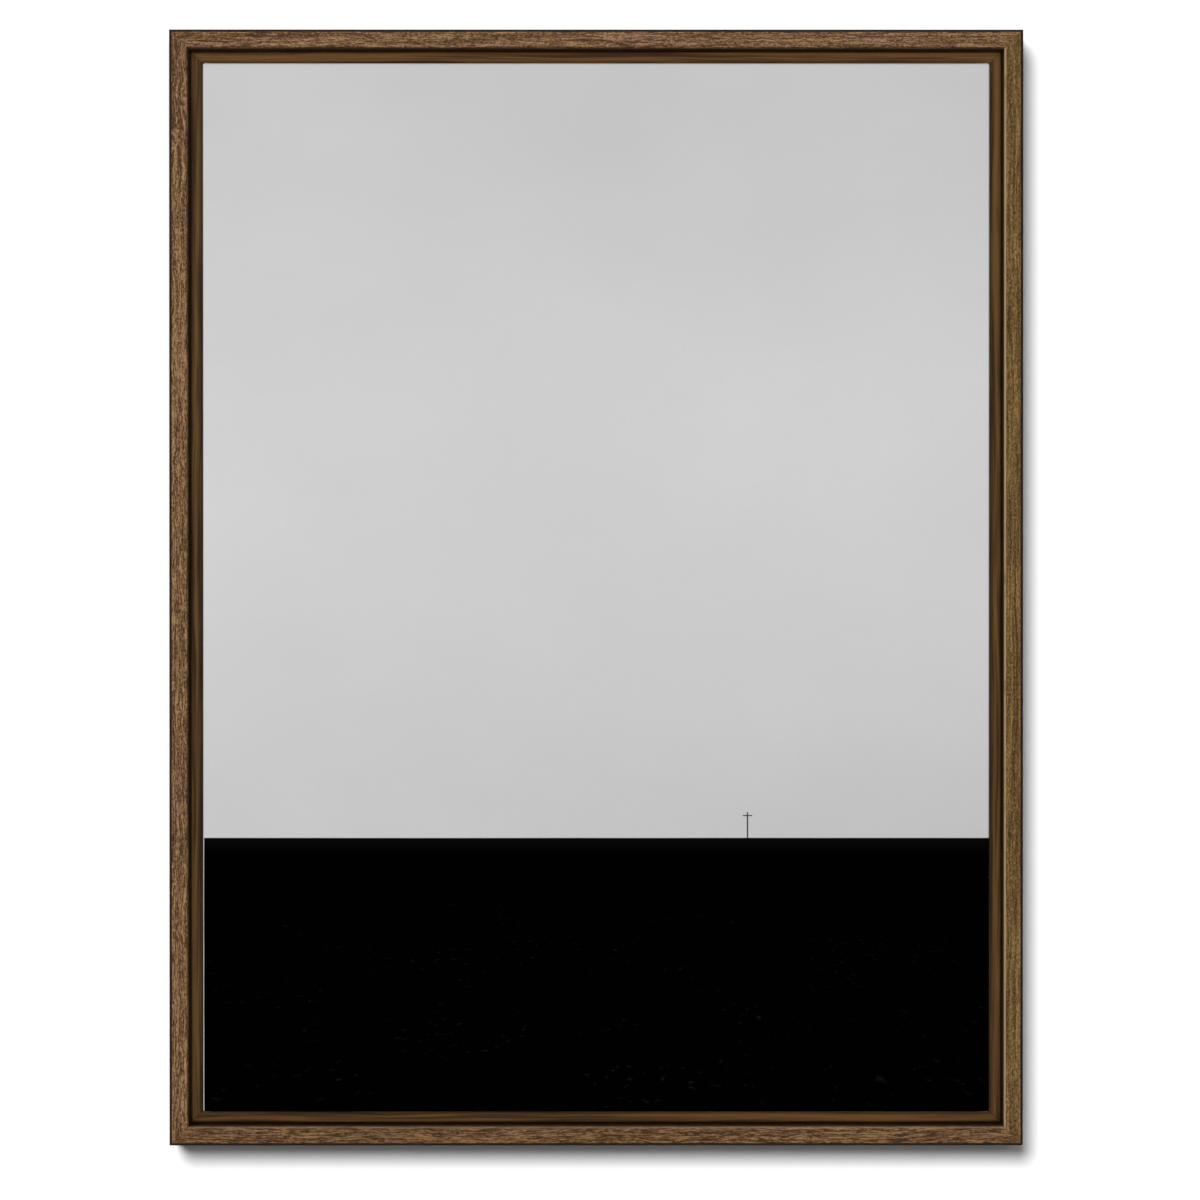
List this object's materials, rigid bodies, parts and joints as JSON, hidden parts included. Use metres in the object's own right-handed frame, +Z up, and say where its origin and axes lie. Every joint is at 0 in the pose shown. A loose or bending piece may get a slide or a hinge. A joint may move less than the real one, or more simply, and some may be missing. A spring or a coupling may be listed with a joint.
{
  "type": "floating picture frame",
  "caption": "Upright wall frame with a mitred L-section wooden moulding around a stretched canvas print, held off the lip by an even open gap, with ring hangers and wall bumpers behind.",
  "frame": {"origin": "middle of the wall plane, where the rear faces of the bumpers rest, on the frame's vertical and horizontal centre lines", "axes": "+X to the right as seen from the front, +Y into the wall, +Z up"},
  "size_m": [0.4962, 0.0495, 0.6486],
  "materials": {
    "walnut": "open-pored, satin oil",
    "pine": "planed, unfinished",
    "beech": "sawn, unfinished",
    "canvas": "plain-weave canvas with a matt print",
    "steel": "galvanised wire",
    "zinc": "bright zinc plate",
    "nickel": "nickel plate",
    "rubber": "matt moulded"
  },
  "bodies": {
    "root": {"frame_rail_top": "walnut", "frame_rail_right": "walnut", "frame_rail_bottom": "walnut", "frame_rail_left": "walnut", "v_nails_top_right": "steel", "v_nails_bottom_right": "steel", "v_nails_bottom_left": "steel", "v_nails_top_left": "steel", "stretcher_bar_top": "pine", "stretcher_bar_right": "pine", "stretcher_bar_bottom": "pine", "stretcher_bar_left": "pine", "corner_key_top_left": "beech", "corner_key_top_right": "beech", "corner_key_right_top": "beech", "corner_key_right_bottom": "beech", "corner_key_bottom_right": "beech", "corner_key_bottom_left": "beech", "corner_key_left_bottom": "beech", "corner_key_left_top": "beech", "canvas": "canvas", "staples_top": "steel", "staples_right": "steel", "staples_bottom": "steel", "staples_left": "steel", "canvas_screw_top_left": "zinc", "canvas_screw_top_right": "zinc", "canvas_screw_right_top": "zinc", "canvas_screw_right_bottom": "zinc", "canvas_screw_bottom_right": "zinc", "canvas_screw_bottom_left": "zinc", "canvas_screw_left_bottom": "zinc", "canvas_screw_left_top": "zinc", "hanger_strap_left": "nickel", "hanger_strap_right": "nickel", "hanger_screw_left_upper": "nickel", "hanger_screw_left_lower": "nickel", "hanger_screw_right_upper": "nickel", "hanger_screw_right_lower": "nickel", "wall_bumper_top_right": "rubber", "wall_bumper_bottom_right": "rubber", "wall_bumper_bottom_left": "rubber", "wall_bumper_top_left": "rubber"},
    "ring_left": {"hanger_ring_left": "nickel"},
    "ring_right": {"hanger_ring_right": "nickel"}
  },
  "joints": [
    {"name": "hanger_ring_left_swing", "type": "hinge", "parent": "root", "child": "ring_left", "pos_m": [-0.2291, -0.00285, 0.1743], "axis": [1, 0, 0], "range_deg": [0, 176]},
    {"name": "hanger_ring_right_swing", "type": "hinge", "parent": "root", "child": "ring_right", "pos_m": [0.2291, -0.00285, 0.1743], "axis": [1, 0, 0], "range_deg": [0, 176]}
  ]
}
